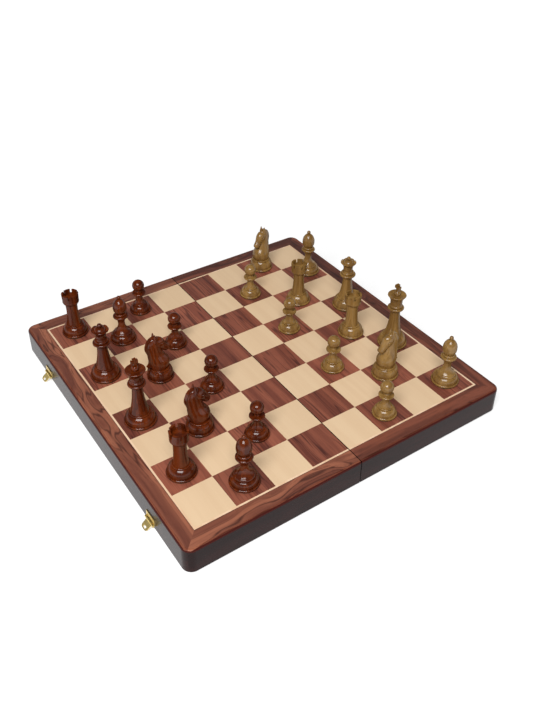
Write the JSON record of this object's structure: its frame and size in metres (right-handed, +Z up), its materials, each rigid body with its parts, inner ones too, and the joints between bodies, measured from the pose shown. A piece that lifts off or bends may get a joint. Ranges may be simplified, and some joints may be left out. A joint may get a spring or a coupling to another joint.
{
  "type": "folding chess board",
  "caption": "Folding wooden chess board whose hinged halves close into a latched storage box, with turned chessmen standing on the squares.",
  "frame": {"origin": "middle of the open board's footprint, on the fold, at the lowest point of the hinges", "axes": "+X across the fold from the latch side to the keeper side, +Y along the fold from front to rear, +Z up through the playing surface"},
  "size_m": [0.3988, 0.386, 0.1103],
  "materials": {
    "case_wood": "gloss lacquer",
    "plywood": "raw",
    "felt": "felt",
    "dark_veneer": "satin lacquer",
    "light_veneer": "satin lacquer",
    "pale_veneer": "satin lacquer",
    "border_veneer": "satin lacquer",
    "brass": "polished",
    "dark_chessmen": "gloss lacquer",
    "light_chessmen": "gloss lacquer"
  },
  "bodies": {
    "left_half": {"left_side_rail": "case_wood", "left_front_rail": "case_wood", "left_rear_rail": "case_wood", "left_seam_rail": "case_wood", "left_panel": "plywood", "left_felt_lining": "felt", "left_dark_squares": "dark_veneer", "left_light_squares": "light_veneer", "left_inlay": "pale_veneer", "left_border": "border_veneer", "left_hinge_leaves": "brass", "left_hinge_screws": "brass", "hinge_pins": "brass", "latch_plates": "brass", "latch_pins": "brass", "latch_screws": "brass"},
    "right_half": {"right_side_rail": "case_wood", "right_front_rail": "case_wood", "right_rear_rail": "case_wood", "right_seam_rail": "case_wood", "right_panel": "plywood", "right_felt_lining": "felt", "right_dark_squares": "dark_veneer", "right_light_squares": "light_veneer", "right_inlay": "pale_veneer", "right_border": "border_veneer", "right_hinge_leaves": "brass", "right_hinge_screws": "brass", "keepers": "brass", "keeper_screws": "brass"},
    "front_latch_tongue": {"front_latch_tongue": "brass"},
    "rear_latch_tongue": {"rear_latch_tongue": "brass"},
    "dark_king": {"dark_king": "dark_chessmen"},
    "dark_queen": {"dark_queen": "dark_chessmen"},
    "dark_rook_front": {"dark_rook_front": "dark_chessmen"},
    "dark_rook_rear": {"dark_rook_rear": "dark_chessmen"},
    "dark_bishop_front": {"dark_bishop_front": "dark_chessmen"},
    "dark_bishop_rear": {"dark_bishop_rear": "dark_chessmen"},
    "dark_knight_front": {"dark_knight_front": "dark_chessmen"},
    "dark_knight_rear": {"dark_knight_rear": "dark_chessmen"},
    "dark_pawn_1": {"dark_pawn_1": "dark_chessmen"},
    "dark_pawn_2": {"dark_pawn_2": "dark_chessmen"},
    "dark_pawn_3": {"dark_pawn_3": "dark_chessmen"},
    "dark_pawn_4": {"dark_pawn_4": "dark_chessmen"},
    "light_king": {"light_king": "light_chessmen"},
    "light_queen": {"light_queen": "light_chessmen"},
    "light_rook_front": {"light_rook_front": "light_chessmen"},
    "light_rook_rear": {"light_rook_rear": "light_chessmen"},
    "light_bishop_front": {"light_bishop_front": "light_chessmen"},
    "light_bishop_rear": {"light_bishop_rear": "light_chessmen"},
    "light_knight_front": {"light_knight_front": "light_chessmen"},
    "light_knight_rear": {"light_knight_rear": "light_chessmen"},
    "light_pawn_1": {"light_pawn_1": "light_chessmen"},
    "light_pawn_2": {"light_pawn_2": "light_chessmen"},
    "light_pawn_3": {"light_pawn_3": "light_chessmen"},
    "light_pawn_4": {"light_pawn_4": "light_chessmen"}
  },
  "joints": [
    {"name": "fold", "type": "hinge", "parent": "left_half", "child": "right_half", "pos_m": [0, 0, 0.0016], "axis": [0, 1, 0], "range_deg": [0, 180]},
    {"name": "front_latch", "type": "hinge", "parent": "left_half", "child": "front_latch_tongue", "pos_m": [-0.1946, -0.125, 0.0065], "axis": [0, 1, 0], "range_deg": [-50, 100]},
    {"name": "rear_latch", "type": "hinge", "parent": "left_half", "child": "rear_latch_tongue", "pos_m": [-0.1946, 0.125, 0.0065], "axis": [0, 1, 0], "range_deg": [-50, 100]},
    {"name": "dark_king_lift", "type": "slide", "parent": "left_half", "child": "dark_king", "axis": [0, 0, 1], "range_m": [0, 0.1]},
    {"name": "dark_queen_lift", "type": "slide", "parent": "left_half", "child": "dark_queen", "axis": [0, 0, 1], "range_m": [0, 0.1]},
    {"name": "dark_rook_front_lift", "type": "slide", "parent": "left_half", "child": "dark_rook_front", "axis": [0, 0, 1], "range_m": [0, 0.1]},
    {"name": "dark_rook_rear_lift", "type": "slide", "parent": "left_half", "child": "dark_rook_rear", "axis": [0, 0, 1], "range_m": [0, 0.1]},
    {"name": "dark_bishop_front_lift", "type": "slide", "parent": "left_half", "child": "dark_bishop_front", "axis": [0, 0, 1], "range_m": [0, 0.1]},
    {"name": "dark_bishop_rear_lift", "type": "slide", "parent": "left_half", "child": "dark_bishop_rear", "axis": [0, 0, 1], "range_m": [0, 0.1]},
    {"name": "dark_knight_front_lift", "type": "slide", "parent": "left_half", "child": "dark_knight_front", "axis": [0, 0, 1], "range_m": [0, 0.1]},
    {"name": "dark_knight_rear_lift", "type": "slide", "parent": "left_half", "child": "dark_knight_rear", "axis": [0, 0, 1], "range_m": [0, 0.1]},
    {"name": "dark_pawn_1_lift", "type": "slide", "parent": "left_half", "child": "dark_pawn_1", "axis": [0, 0, 1], "range_m": [0, 0.1]},
    {"name": "dark_pawn_2_lift", "type": "slide", "parent": "left_half", "child": "dark_pawn_2", "axis": [0, 0, 1], "range_m": [0, 0.1]},
    {"name": "dark_pawn_3_lift", "type": "slide", "parent": "left_half", "child": "dark_pawn_3", "axis": [0, 0, 1], "range_m": [0, 0.1]},
    {"name": "dark_pawn_4_lift", "type": "slide", "parent": "left_half", "child": "dark_pawn_4", "axis": [0, 0, 1], "range_m": [0, 0.1]},
    {"name": "light_king_lift", "type": "slide", "parent": "right_half", "child": "light_king", "axis": [0, 0, 1], "range_m": [0, 0.1]},
    {"name": "light_queen_lift", "type": "slide", "parent": "right_half", "child": "light_queen", "axis": [0, 0, 1], "range_m": [0, 0.1]},
    {"name": "light_rook_front_lift", "type": "slide", "parent": "right_half", "child": "light_rook_front", "axis": [0, 0, 1], "range_m": [0, 0.1]},
    {"name": "light_rook_rear_lift", "type": "slide", "parent": "right_half", "child": "light_rook_rear", "axis": [0, 0, 1], "range_m": [0, 0.1]},
    {"name": "light_bishop_front_lift", "type": "slide", "parent": "right_half", "child": "light_bishop_front", "axis": [0, 0, 1], "range_m": [0, 0.1]},
    {"name": "light_bishop_rear_lift", "type": "slide", "parent": "right_half", "child": "light_bishop_rear", "axis": [0, 0, 1], "range_m": [0, 0.1]},
    {"name": "light_knight_front_lift", "type": "slide", "parent": "right_half", "child": "light_knight_front", "axis": [0, 0, 1], "range_m": [0, 0.1]},
    {"name": "light_knight_rear_lift", "type": "slide", "parent": "right_half", "child": "light_knight_rear", "axis": [0, 0, 1], "range_m": [0, 0.1]},
    {"name": "light_pawn_1_lift", "type": "slide", "parent": "right_half", "child": "light_pawn_1", "axis": [0, 0, 1], "range_m": [0, 0.1]},
    {"name": "light_pawn_2_lift", "type": "slide", "parent": "right_half", "child": "light_pawn_2", "axis": [0, 0, 1], "range_m": [0, 0.1]},
    {"name": "light_pawn_3_lift", "type": "slide", "parent": "right_half", "child": "light_pawn_3", "axis": [0, 0, 1], "range_m": [0, 0.1]},
    {"name": "light_pawn_4_lift", "type": "slide", "parent": "right_half", "child": "light_pawn_4", "axis": [0, 0, 1], "range_m": [0, 0.1]}
  ]
}
